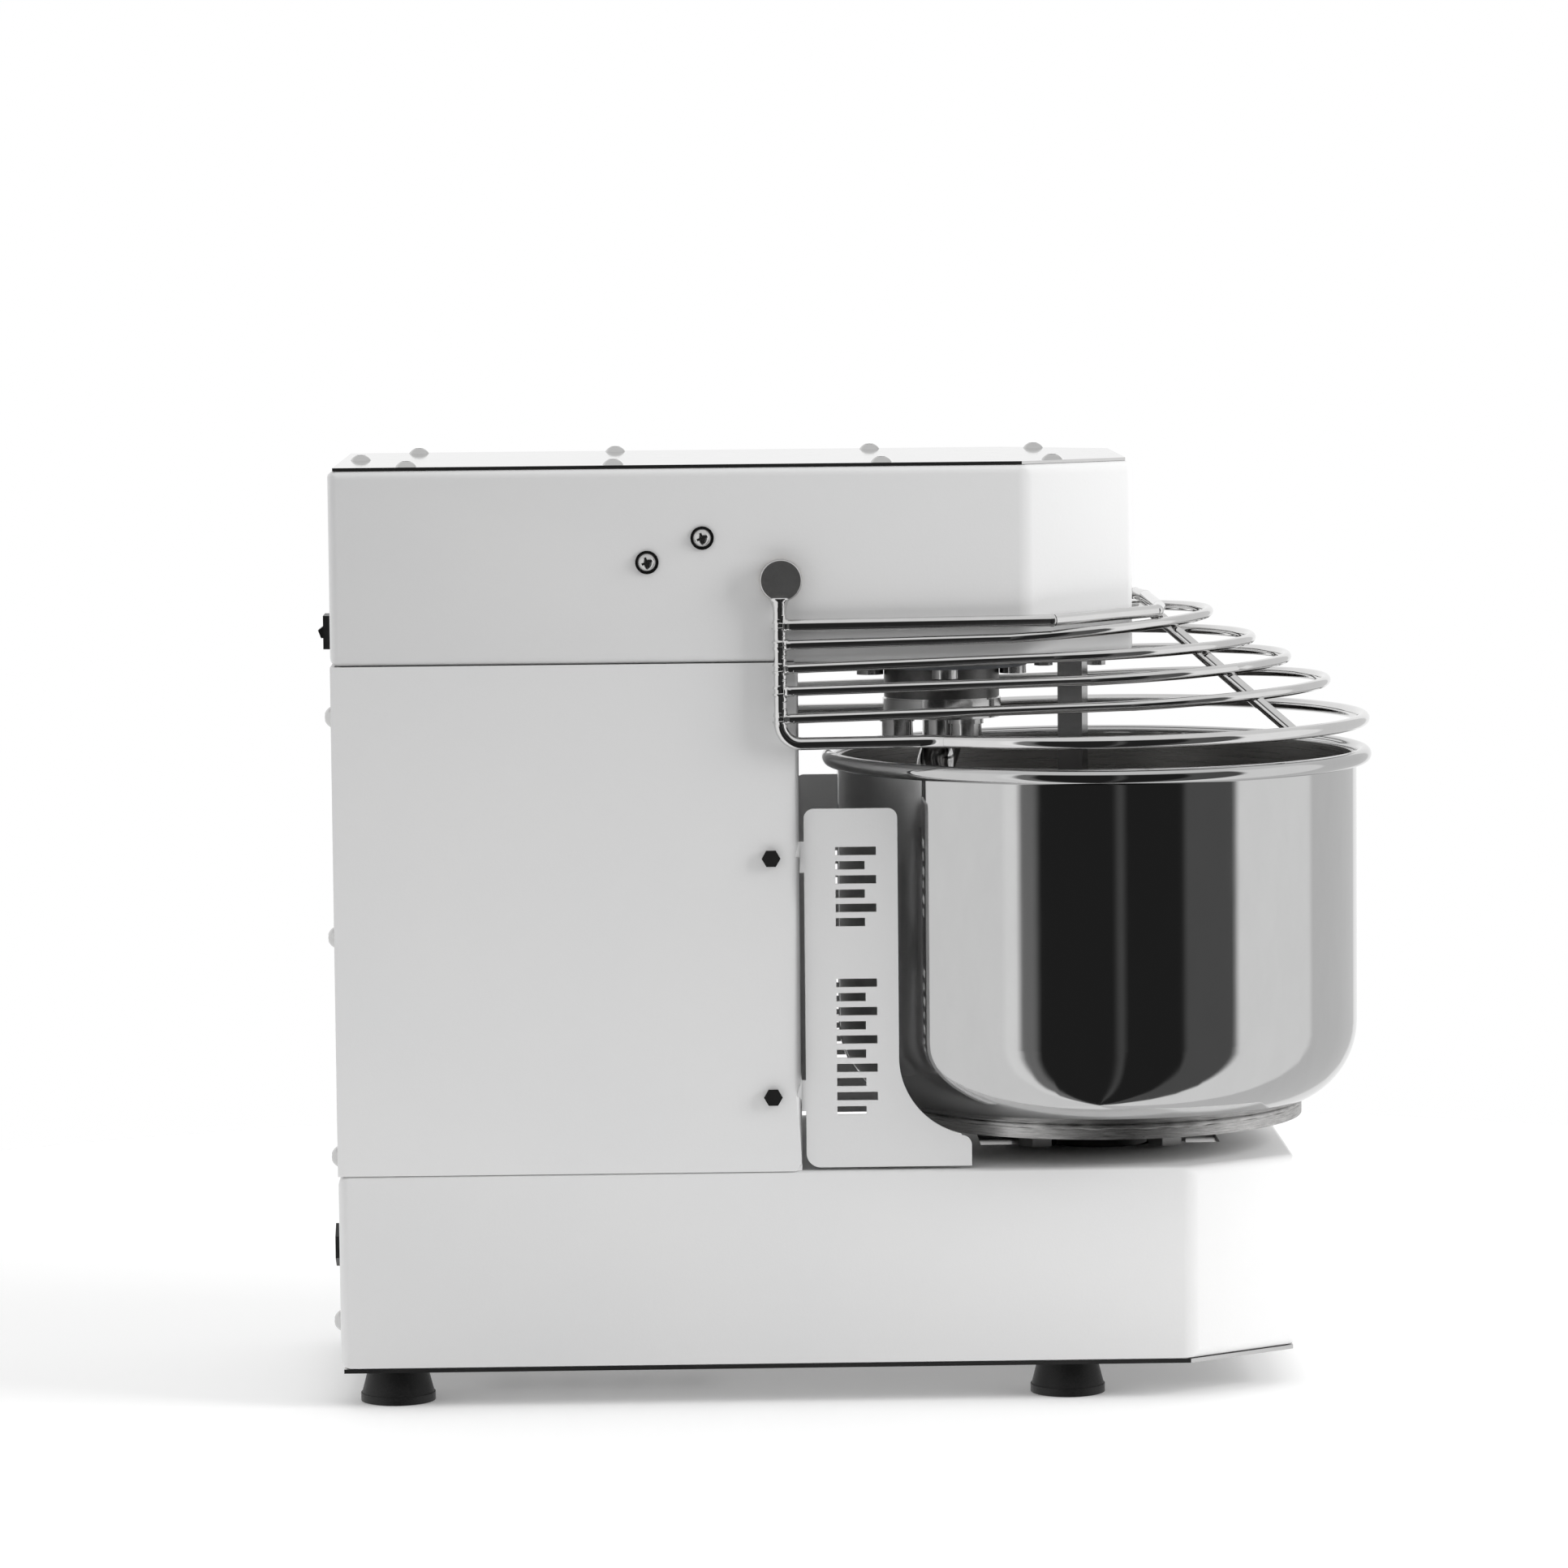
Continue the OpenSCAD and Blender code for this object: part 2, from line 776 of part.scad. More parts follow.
module spiral_nut() {
  color(steel)
    difference() {
      disc(spiral_x, 0, 398.8, 403, 21);
      disc(spiral_x, 0, 398, 405, 15.05);
      for (a = [0:90:270])
        translate([spiral_x, 0, 398])
          rotate([0, 0, a])
            translate([18.5, -2.5, 0])
              cube([4, 5, 8]);
    }
}
module spiral_disc() {
  color(steel)
    difference() {
      union() {
        disc(spiral_x, 0, 331.5, 340.8, 29.8);
        disc(spiral_x, 0, 340.7, 341.6, 28.6);
      }
      for (a = [60, 180, 300])
        disc(spiral_x + 22.4 * cos(a), 22.4 * sin(a), 330, 343, 5.1);
    }
}
module spiral_cap_screws() {
  color(steel)
    for (a = [60, 180, 300])
      translate([spiral_x + 22.4 * cos(a), 22.4 * sin(a), 329.1])
        rotate([180, 0, 0])
          cap_screw(15.8, 10, 10, 22, 8);
}
module spiral_washers() {
  color(steel)
    for (a = [60, 180, 300])
      translate([spiral_x + 22.4 * cos(a), 22.4 * sin(a), 329.1])
        difference() {
          cylinder(h = 2.4, d = 17.8, $fn = 48);
          translate([0, 0, -1])
            cylinder(h = 5, d = 10.1, $fn = 32);
        }
}
hook_top = 331.5;
hook_low = 150.5;
hook_steps = 76;
function smooth(t) = t * t * (3 - 2 * t);
function clampf(t) = max(0, min(1, t));
function hook_r(u) = sweep_r * smooth(clampf((u - 0.07) / 0.24)) - (sweep_r - 25) * smooth(clampf((u - 0.70) / 0.30));
function hook_a(u) = 205 + 360 * spiral_turns * pow(clampf((u - 0.07) / 0.93), 1.12);
function hook_z(u) = hook_top - (hook_top - hook_low) * (u < 0.9 ? u * 1.03 : 0.927 + 0.073 * smooth((u - 0.9) / 0.1));
module spiral_hook() {
  pts = [
    for (i = [0:hook_steps])
      let (u = i / hook_steps)
        [spiral_x + hook_r(u) * cos(hook_a(u)), hook_r(u) * sin(hook_a(u)), hook_z(u)]
  ];
  rr = [for (i = [0:hook_steps]) rod_d / 2 * (i > hook_steps - 4 ? sqrt(max(0.12, 1 - pow((i - hook_steps + 4) / 4.3, 2))) : 1)];
  color(steel)
    sweep_tube(pts, rr, 16);
}

// ---------- breaker bar ----------
module breaker_bar() {
  color(steel)
    difference() {
      union() {
        translate([bar_x, 0, bar_z0])
          rotate([0, 0, -bar_turn])
            translate([-bar_a / 2, -bar_a / 2, 0])
              cube([bar_a, bar_a, 362 - bar_z0]);
        box(91.6, 128.9, -23, 23, 361, head_z0);
      }
      for (p = bar_bolts)
        disc(p[0], p[1], 355, head_z0 + 5, 2.7);
    }
}
module breaker_bolts() {
  color(steel)
    for (p = bar_bolts)
      translate([p[0], p[1], 361])
        rotate([180, 0, 0])
          hex_screw(8, 3.5, 5, 10);
}

// ---------- bowl ----------
module bowl_pan() {
  ri = bowl_r - bowl_t;
  cz = pan_z0 + bowl_corner;
  color(steel)
    translate([bowl_x, 0, 0])
      rotate_extrude($fn = 144) {
        translate([ri, cz])
          square([bowl_t, rim_z - cz]);
        translate([bowl_r + bead_r - 0.3, rim_z])
          circle(r = bead_r, $fn = 32);
        difference() {
          translate([bowl_r - bowl_corner, cz])
            circle(r = bowl_corner, $fn = 96);
          translate([bowl_r - bowl_corner, cz])
            circle(r = bowl_corner - bowl_t, $fn = 96);
          translate([bowl_r - 3 * bowl_corner, pan_z0 - 5])
            square([2 * bowl_corner, 3 * bowl_corner]);
          translate([bowl_r - bowl_corner - 1, cz])
            square([2 * bowl_corner, 3 * bowl_corner]);
        }
        translate([0, pan_z0])
          square([bowl_r - bowl_corner, bowl_t]);
      }
}
module bowl_disc() {
  color(steel)
    difference() {
      disc(bowl_x, 0, disc_z0, pan_z0, disc_r);
      for (a = [45:90:315])
        disc(bowl_x + 46 * cos(a), 46 * sin(a), disc_z0 - 1, disc_z0 + 4.2, 5.1);
    }
}
module bowl_shaft() {
  color(dark)
    difference() {
      union() {
        disc(bowl_x, 0, disc_z0 - hub_flange_t, disc_z0, 59);
        disc(bowl_x, 0, 114.5, disc_z0 - hub_flange_t + 0.1, hub_r);
        disc(bowl_x, 0, 42, 114.6, 15);
      }
      for (a = [45:90:315])
        disc(bowl_x + 46 * cos(a), 46 * sin(a), 100, 140, 5.1);
    }
}
module bowl_bolts() {
  color(steel)
    for (a = [45:90:315])
      translate([bowl_x + 46 * cos(a), 46 * sin(a), disc_z0 - hub_flange_t])
        rotate([180, 0, 12])
          hex_screw(17, 6.4, 10, 10);
}
module bowl_bearing_housing() {
  color([0.35, 0.37, 0.40])
    difference() {
      union() {
        disc(bowl_x, 0, 101.5, 107.5, 56);
        disc(bowl_x, 0, 62, 107.5, 36);
      }
      disc(bowl_x, 0, 50, 120, 22);
      disc(bowl_x, 0, 60, 77, 27.52);
      disc(bowl_x, 0, 94.4, 120, 27.52);
      for (a = [45:90:315])
        disc(bowl_x + 47 * cos(a), 47 * sin(a), 100, 112, 4.2);
    }
}
module lower_bearings() {
  color(steel)
    for (z = [head_z0 + sheet + 7, 100.4])
      bearing(jack_x, 0, z, 12, 16, 8.04);
  color(steel) {
    bearing(bowl_x, 0, 63.8, 13, 27.5, 15.04);
    bearing(bowl_x, 0, 94.4, 13, 27.5, 15.04);
  }
}
module bowl_bearing_plate() {
  color(steel)
    difference() {
      union() {
        box(38, 208, -56, 56, 107.5, 113.5);
        for (x = [38, 196])
          box(x, x + 12, -body_half + 34, body_half - 34, 107.5, 113.5);
      }
      disc(bowl_x, 0, 105, 115, 28);
      for (a = [45:90:315])
        disc(bowl_x + 47 * cos(a), 47 * sin(a), 100, 115, 4.2);
    }
}
module frame_bolts() {
  color(steel)
    for (a = [45:90:315])
      translate([motor_x + 52 * cos(a), 52 * sin(a), head_z0 + sheet + 6])
        hex_screw(13, 5.3, 8, 20);
  color(steel)
    for (z = [head_z0 + sheet + 6 + 5, 99.4 + 5])
      for (a = [45:90:315])
        translate([jack_x + 26 * cos(a), 26 * sin(a), z])
          hex_screw(10, 4, 6, 11);
  color(steel)
    for (a = [45:90:315])
      translate([bowl_x + 47 * cos(a), 47 * sin(a), 101.5])
        rotate([180, 0, 0])
          hex_screw(13, 5.3, 8, 11.5);
}
module bowl_sprocket() {
  color(dark)
    translate([bowl_x, 0, level_c - tooth_t / 2])
      sprocket(teeth_bowl, 30.1, 50, 6);
}

// ---------- guard ----------
// each round hoop: height at the arm, X of its front, rise of the legs, rise of the front, wire
hoops = [
  [375.05, 181.0, 1.1, 3.4, hoop_d],
  [363.4, 202.2, 1.8, 1.4, hoop_d],
  [352.4, 220.1, 1.4, 2.3, hoop_d],
  [338.9, 239.9, 1.55, 2.65, hoop_d]
];
top_d = 6;
arm_x = -36.8;
low_z = 326.7;
low_tilt = 0.5;
low_r = 134.4;
module hoop(h) {
  x1 = h[1] - leg_y;
  z1 = h[0] + (x1 - arm_x) * tan(h[2]);
  for (s = [-1, 1])
    rod([arm_x, s * leg_y, h[0]], [x1 + lap, s * leg_y, z1 + lap * tan(h[2])], h[4]);
  translate([x1, 0, z1])
    rotate([0, -h[3], 0])
      arc_wire(leg_y, h[4], -90, 90);
}
module top_hoop() {
  // follows the front of the head: legs, slanted sides and a short front bar
  a = [arm_x, leg_y, 384.5];
  b = [96, leg_y, 385.6];
  c = [150, 72, 387.8];
  d = [153, 45, 388];
  for (s = [-1, 1]) {
    rod([a[0], s * a[1], a[2]], [b[0], s * b[1], b[2]], top_d);
    rod([b[0], s * b[1], b[2]], [c[0], s * c[1], c[2]], top_d);
    rod([c[0], s * c[1], c[2]], [d[0], s * d[1], d[2]], top_d);
    for (q = [b, c, d])
      translate([q[0], s * q[1], q[2]])
        sphere(d = top_d + 0.3, $fn = 16);
  }
  rod([d[0], -d[1], d[2]], [d[0], d[1], d[2]], top_d);
}
lap = 0.4;
kink = 29.8;
kink_r = 25;
module low_hoop() {
  // the legs run straight, bend outwards and join the round front hoop
  xj = bowl_x - low_r * sin(kink);
  yj = low_r * cos(kink);
  dy = kink_r * (1 - cos(kink));
  dx = kink_r * sin(kink);
  run = (yj - leg_y - dy) / sin(kink);
  xs = xj - run * cos(kink) - dx;
  bend = 10;
  translate([arm_x + bend, 0, low_z])
    rotate([0, -low_tilt, 0])
      translate([-arm_x - bend, 0, 0]) {
        for (s = [-1, 1]) {
          rod([arm_x + bend - lap, s * leg_y, 0], [xs + lap, s * leg_y, 0], arm_d);
          translate([xs, s * (leg_y + kink_r), 0])
            arc_wire(kink_r, arm_d, s > 0 ? -90 : 90 - kink, s > 0 ? -90 + kink : 90);
          rod(
            [xs + dx - lap * cos(kink), s * (leg_y + dy - lap * sin(kink)), 0],
            [xj + lap * cos(kink), s * (yj + lap * sin(kink)), 0],
            arm_d
          );
        }
        translate([bowl_x, 0, 0])
          arc_wire(low_r, arm_d, -90 - kink, 90 + kink);
      }
  for (s = [-1, 1]) {
    translate([arm_x + bend, s * leg_y, low_z + bend])
      rotate([90, 0, 0])
        arc_wire(bend, arm_d, 180, 270);
    difference() {
      rod([arm_x, s * leg_y, low_z + bend - lap], [arm_x, s * leg_y, pivot_z - 8.6], arm_d);
      translate([pivot_x, s * leg_y, pivot_z])
        rotate([90, 0, 0])
          cylinder(h = 20, r = 10.31, center = true);
    }
  }
}
module guard_cage() {
  color(steel) {
    for (h = hoops)
      hoop(h);
    top_hoop();
    low_hoop();
    for (s = [-1, 1])
      rod([152.6, s * 58.1, 383.3], [215.3, s * 93, 328.5], 6);
  }
}
module guard_bosses() {
  color(steel)
    for (s = [-1, 1])
      translate([pivot_x, s * (leg_y - 3.8), pivot_z])
        rotate([-s * 90, 0, 0]) {
          cylinder(h = 6.3, d = 20.6);
          translate([0, 0, 6.2])
            cylinder(h = 0.6, d1 = 20.6, d2 = 19.4);
        }
}
module guard_shaft() {
  color(steel)
    union() {
      translate([pivot_x, leg_y - 3.8, pivot_z])
        rotate([90, 0, 0])
          cylinder(h = 2 * (leg_y - 3.8), d = 12, $fn = 48);
      translate([pivot_x, -76, pivot_z])
        rotate([90, 0, 0]) {
          cylinder(h = 8, d = 24, $fn = 48);
          rotate([0, 0, 135])
            translate([0, -4, 1])
              cube([34, 8, 6]);
        }
    }
}
module guard_bushings() {
  color(brass_c)
    for (s = [-1, 1])
      translate([pivot_x, s * (body_half - 8), pivot_z])
        rotate([-s * 90, 0, 0])
          difference() {
            union() {
              cylinder(h = 9.4, d = 18, $fn = 48);
              cylinder(h = 6, d = 24, $fn = 48);
            }
            translate([0, 0, -1])
              cylinder(h = 14, d = 12.1, $fn = 48);
          }
}
module safety_bracket() {
  color(steel)
    difference() {
      union() {
        box(-112, -62, -body_half + sheet, -body_half + sheet + 2, 408, 436);
        box(-112, -67, -body_half + sheet, -76, 436, 438);
      }
      for (p = side_screw_pos)
        translate([p[0], -body_half, p[1]])
          rotate([90, 0, 0])
            cylinder(h = 30, d = 5.2, center = true, $fn = 24);
    }
  color(steel)
    for (p = side_screw_pos)
      translate([p[0], -body_half + sheet + 2, p[1]])
        rotate([-90, 0, 0])
          difference() {
            cylinder(h = 4, d = 8 / cos(30), $fn = 6);
            translate([0, 0, -1])
              cylinder(h = 8, d = 5.1, $fn = 24);
          }
}
module safety_switch() {
  color(black)
    difference() {
      union() {
        box(-96, -62, -90, -79, 438, 456);
        box(-66, -60, -88, -81, 434.4, 440);
      }
      for (x = [-90, -68])
        translate([x, -80, 450])
          rotate([90, 0, 0])
            cylinder(h = 30, d = 3.2, center = true, $fn = 24);
    }
}

base_housing();
bottom_plate();
rubber_feet();
foot_screws();
cable_gland();
column_housing();
rear_cover();
rear_screws();
side_plate_near();
side_plate_far();
side_plate_screws();
head_housing();
lid_plate();
lid_screws();
head_side_washers();
head_side_screws();
switch_bezel();
switch_rocker();
drive_plate();
gearbox_housing();
motor_body();
motor_fan_cover();
terminal_box();
motor_shaft();
motor_sprockets();
jack_shaft();
jack_sprockets();
jack_bearing_blocks();
jack_bracket();
chain_spiral();
chain_jack();
chain_bowl();
spiral_housing();
spiral_bolts_set();
spiral_bearings();
spiral_shaft();
spiral_sprocket();
spiral_nut();
spiral_disc();
spiral_cap_screws();
spiral_washers();
spiral_hook();
breaker_bar();
breaker_bolts();
bowl_pan();
bowl_disc();
bowl_shaft();
bowl_bolts();
bowl_bearing_housing();
lower_bearings();
bowl_bearing_plate();
frame_bolts();
bowl_sprocket();
guard_cage();
guard_bosses();
guard_shaft();
guard_bushings();
safety_bracket();
safety_switch();
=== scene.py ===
import json
import math

import bmesh
import bpy
from mathutils import Matrix, Vector


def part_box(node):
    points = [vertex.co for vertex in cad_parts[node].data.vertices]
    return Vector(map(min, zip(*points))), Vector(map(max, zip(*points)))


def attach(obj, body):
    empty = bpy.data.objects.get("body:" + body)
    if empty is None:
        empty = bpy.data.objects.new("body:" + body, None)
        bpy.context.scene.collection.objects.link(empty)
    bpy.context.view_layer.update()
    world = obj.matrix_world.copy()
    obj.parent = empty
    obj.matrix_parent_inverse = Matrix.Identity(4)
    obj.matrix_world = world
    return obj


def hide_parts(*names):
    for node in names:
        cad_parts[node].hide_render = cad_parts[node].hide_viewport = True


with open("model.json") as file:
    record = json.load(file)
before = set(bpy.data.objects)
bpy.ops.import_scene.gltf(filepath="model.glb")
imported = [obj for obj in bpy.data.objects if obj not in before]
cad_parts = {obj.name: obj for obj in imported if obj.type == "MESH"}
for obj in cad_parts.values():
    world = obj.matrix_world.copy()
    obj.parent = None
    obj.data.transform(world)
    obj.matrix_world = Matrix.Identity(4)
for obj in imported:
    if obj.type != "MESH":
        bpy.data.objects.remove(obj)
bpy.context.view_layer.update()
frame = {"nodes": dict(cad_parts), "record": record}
NODES = frame["nodes"]
SCENE = bpy.context.scene
SCENE.view_settings.view_transform = "Standard"
SCENE.view_settings.look = "None"

# ---------------------------------------------------------------- places on the machine
BOWL_X = 0.1242
BOWL_INSIDE_R = 0.1302
SPIRAL_X = 0.0465
COLUMN_FRONT_X = -0.028
COLUMN_HALF_Y = 0.1
GUARD_PIVOT_Z = 0.4066
GUARD_ARM_X = -0.0368
GUARD_LEG_Y = 0.1055
GUARD_HOOP_Z = [0.3845, 0.37505, 0.3634, 0.3524, 0.3389]


# ---------------------------------------------------------------- node helpers
class Graph:
    """A material's node tree with short calls for the nodes used here."""

    def __init__(self, name):
        self.mat = bpy.data.materials.new(name)
        self.mat.use_nodes = True
        self.tree = self.mat.node_tree
        self.bsdf = self.tree.nodes["Principled BSDF"]
        coord = self.tree.nodes.new("ShaderNodeTexCoord")
        self.object = coord.outputs["Object"]
        self.normal = coord.outputs["Normal"]

    def node(self, kind, *links, **props):
        n = self.tree.nodes.new("ShaderNode" + kind)
        for key, value in props.items():
            setattr(n, key, value)
        for i, value in enumerate(links):
            self.put(n.inputs[i], value)
        return n

    def put(self, socket, value):
        if value is None:
            return
        if isinstance(value, bpy.types.NodeSocket):
            self.tree.links.new(value, socket)
        else:
            socket.default_value = value

    def math(self, operation, a, b=None, c=None):
        return self.node("Math", a, b, c, operation=operation).outputs[0]

    def stretched(self, scale):
        return self.node("VectorMath", self.object, scale, operation="MULTIPLY").outputs[0]

    def noise(self, vector, scale=1.0, detail=4.0, rough=0.55):
        n = self.node("TexNoise")
        self.put(n.inputs["Vector"], vector)
        self.put(n.inputs["Scale"], scale)
        self.put(n.inputs["Detail"], detail)
        self.put(n.inputs["Roughness"], rough)
        return n.outputs["Fac"]

    def remap(self, value, lo, hi, to_lo, to_hi):
        return self.node("MapRange", value, lo, hi, to_lo, to_hi).outputs[0]

    def blend(self, value, lo, hi, a, b):
        """Colour a below lo, colour b above hi."""
        return self.mix(self.remap(value, lo, hi, 0, 1), a, b)

    def mix(self, factor, a, b):
        n = self.node("Mix", data_type="RGBA")
        self.put(n.inputs["Factor"], factor)
        self.put(n.inputs["A"], a)
        self.put(n.inputs["B"], b)
        return n.outputs["Result"]

    def bump(self, height, strength, distance):
        n = self.node("Bump")
        self.put(n.inputs["Strength"], strength)
        self.put(n.inputs["Distance"], distance)
        self.put(n.inputs["Height"], height)
        return n.outputs[0]

    def set(self, **values):
        for key, value in values.items():
            self.put(self.bsdf.inputs[key.replace("_", " ")], value)


def grey(v, warm=0.0):
    return (v * (1 + warm), v, v * (1 - warm), 1.0)


# ---------------------------------------------------------------- materials
STEEL_WARMTH = 0.004


def powder_coat(name, level):
    """Fine orange-peel powder coat, a touch uneven in tone."""
    g = Graph(name)
    peel = g.noise(g.object, 650, 3, 0.6)
    fine = g.noise(g.object, 2400, 2, 0.5)
    cloud = g.noise(g.object, 9, 2, 0.5)
    tone = g.blend(cloud, 0.3, 0.7, grey(level * 0.985, -0.002), grey(level, 0.002))
    height = g.math("MULTIPLY_ADD", fine, 0.35, peel)
    g.set(
        Base_Color=tone,
        Roughness=g.remap(peel, 0.3, 0.7, 0.40, 0.52),
        IOR=1.48,
        Normal=g.bump(height, 0.16, 0.00025),
    )
    return g.mat


def brushed(name, level, rough, along=(30, 2600, 2600)):
    """Brushed steel with fine streaks along the axis that is stretched least."""
    g = Graph(name)
    streak = g.noise(g.stretched(along), 1.0, 5, 0.65)
    cloud = g.noise(g.object, 22, 3, 0.5)
    streaky_rough = g.remap(streak, 0.2, 0.8, rough * 0.8, rough * 1.15)
    g.set(
        Base_Color=g.blend(streak, 0.25, 0.75, grey(level * 0.95, STEEL_WARMTH), grey(level * 1.05, STEEL_WARMTH)),
        Metallic=1.0,
        Roughness=g.math("ADD", streaky_rough, g.remap(cloud, 0.3, 0.7, -0.02, 0.03)),
        Normal=g.bump(streak, 0.08, 0.0001),
    )
    return g.mat


def polished(name, level, rough, wave, smear, scale):
    """Polished metal with a faint unevenness and light smears."""
    g = Graph(name)
    broad = g.noise(g.object, scale, 2, 0.5)
    smears = g.noise(g.stretched((90, 90, 240)), 1.0, 4, 0.6)
    g.set(
        Base_Color=g.blend(smears, 0.3, 0.8, grey(level, STEEL_WARMTH), grey(level * 0.94, STEEL_WARMTH)),
        Metallic=1.0,
        Roughness=g.remap(smears, 0.35, 0.75, rough, rough + smear),
        Normal=g.bump(broad, wave, 0.0004),
    )
    return g.mat


def oiled(name, level, rough):
    """Dark oiled machine steel with turned rings left soft by smudges."""
    g = Graph(name)
    turned = g.noise(g.stretched((60, 60, 2600)), 1.0, 3, 0.6)
    smudge = g.noise(g.object, 70, 4, 0.6)
    g.set(
        Base_Color=g.blend(smudge, 0.35, 0.7, grey(level * 0.7, 0.01), grey(level * 1.25, 0.01)),
        Metallic=1.0,
        Roughness=g.remap(smudge, 0.3, 0.7, rough, rough + 0.16),
        Normal=g.bump(turned, 0.12, 0.0001),
    )
    return g.mat


def rubber(name):
    """Moulded rubber: near black, satin, with fine specks that break up its highlights."""
    g = Graph(name)
    speck = g.noise(g.object, 1500, 3, 0.7)
    broad = g.noise(g.object, 160, 3, 0.6)
    g.set(
        Base_Color=g.blend(speck, 0.4, 0.7, grey(0.008), grey(0.02)),
        Roughness=g.remap(speck, 0.3, 0.7, 0.42, 0.65),
        Specular_IOR_Level=0.35,
        Normal=g.bump(g.math("MULTIPLY_ADD", broad, 0.4, speck), 0.35, 0.0003),
    )
    return g.mat


def plastic(name, level, rough):
    """Moulded plastic with a fine spark-eroded grain."""
    g = Graph(name)
    grain = g.noise(g.object, 2200, 2, 0.6)
    g.set(
        Base_Color=g.mix(grain, grey(level * 0.8), grey(level * 1.2)),
        Roughness=g.remap(grain, 0.3, 0.7, rough - 0.06, rough + 0.08),
        Normal=g.bump(grain, 0.15, 0.0001),
    )
    return g.mat


def enamel(name, color):
    """Sprayed machine enamel on castings."""
    g = Graph(name)
    peel = g.noise(g.object, 420, 3, 0.6)
    dust = g.noise(g.object, 35, 4, 0.6)
    dusty = tuple(c * 1.35 + 0.02 for c in color[:3]) + (1.0,)
    g.set(
        Base_Color=g.mix(g.remap(dust, 0.45, 0.75, 0, 0.6), color, dusty),
        Roughness=g.remap(peel, 0.3, 0.7, 0.35, 0.5),
        Normal=g.bump(peel, 0.2, 0.0003),
    )
    return g.mat


def bronze(name):
    """Sintered bronze with open pores."""
    g = Graph(name)
    pores = g.noise(g.object, 2400, 3, 0.7)
    g.set(
        Base_Color=g.blend(pores, 0.35, 0.65, (0.30, 0.17, 0.06, 1), (0.62, 0.42, 0.18, 1)),
        Metallic=1.0,
        Roughness=g.remap(pores, 0.3, 0.7, 0.28, 0.45),
        Normal=g.bump(pores, 0.2, 0.0001),
    )
    return g.mat


def bowl_steel(name):
    """Mirror polished outside and over the rim, brushed round the inside."""
    g = Graph(name)
    xyz = g.node("SeparateXYZ", g.object)
    nrm = g.node("SeparateXYZ", g.normal)
    dx = g.math("SUBTRACT", xyz.outputs[0], BOWL_X)
    dy = xyz.outputs[1]
    radius = g.math("SQRT", g.math("ADD", g.math("MULTIPLY", dx, dx), g.math("MULTIPLY", dy, dy)))
    outward = g.math("ADD", g.math("MULTIPLY", dx, nrm.outputs[0]), g.math("MULTIPLY", dy, nrm.outputs[1]))
    facing = g.math("SUBTRACT", g.math("MULTIPLY", nrm.outputs[2], 0.03), outward)
    inside = g.math("MULTIPLY", g.math("GREATER_THAN", facing, 0.0), g.math("LESS_THAN", radius, BOWL_INSIDE_R))
    around = g.math("MULTIPLY", g.math("ARCTAN2", dy, dx), 1.6)
    radial = g.math("MULTIPLY", radius, 900)
    rings = g.node("CombineXYZ", around, radial, g.math("MULTIPLY", xyz.outputs[2], 1500))
    streak = g.noise(rings.outputs[0], 1.0, 5, 0.7)
    broad = g.noise(g.object, 26, 2, 0.5)
    smear = g.noise(g.stretched((70, 70, 30)), 1.0, 4, 0.6)
    out_rough = g.remap(smear, 0.35, 0.8, 0.045, 0.085)
    in_rough = g.remap(streak, 0.2, 0.8, 0.22, 0.36)
    out_tone = g.blend(smear, 0.3, 0.8, grey(0.60), grey(0.575))
    in_tone = g.blend(streak, 0.25, 0.75, grey(0.42, 0.015), grey(0.60, 0.015))
    g.set(
        Base_Color=g.mix(inside, out_tone, in_tone),
        Metallic=1.0,
        Roughness=g.mix(inside, out_rough, in_rough),
        Normal=g.mix(inside, g.bump(broad, 0.05, 0.0006), g.bump(streak, 0.10, 0.0001)),
    )
    return g.mat


def rough_cut(name):
    """The bottom disc: turned faces and a torn, streaky flame-cut edge."""
    g = Graph(name)
    xyz = g.node("SeparateXYZ", g.object)
    dx = g.math("SUBTRACT", xyz.outputs[0], BOWL_X)
    angle = g.math("ARCTAN2", xyz.outputs[1], dx)
    lines = g.node("CombineXYZ", g.math("MULTIPLY", angle, 9), 0.0, g.math("MULTIPLY", xyz.outputs[2], 1300))
    streak = g.noise(lines.outputs[0], 1.0, 6, 0.75)
    fleck = g.noise(lines.outputs[0], 2.3, 5, 0.8)
    tone = g.blend(streak, 0.3, 0.7, grey(0.34, 0.01), grey(0.86, 0.01))
    g.set(
        Base_Color=g.blend(fleck, 0.60, 0.68, tone, grey(0.03)),
        Metallic=1.0,
        Roughness=g.remap(streak, 0.3, 0.7, 0.30, 0.52),
        Normal=g.bump(streak, 0.5, 0.0004),
    )
    return g.mat


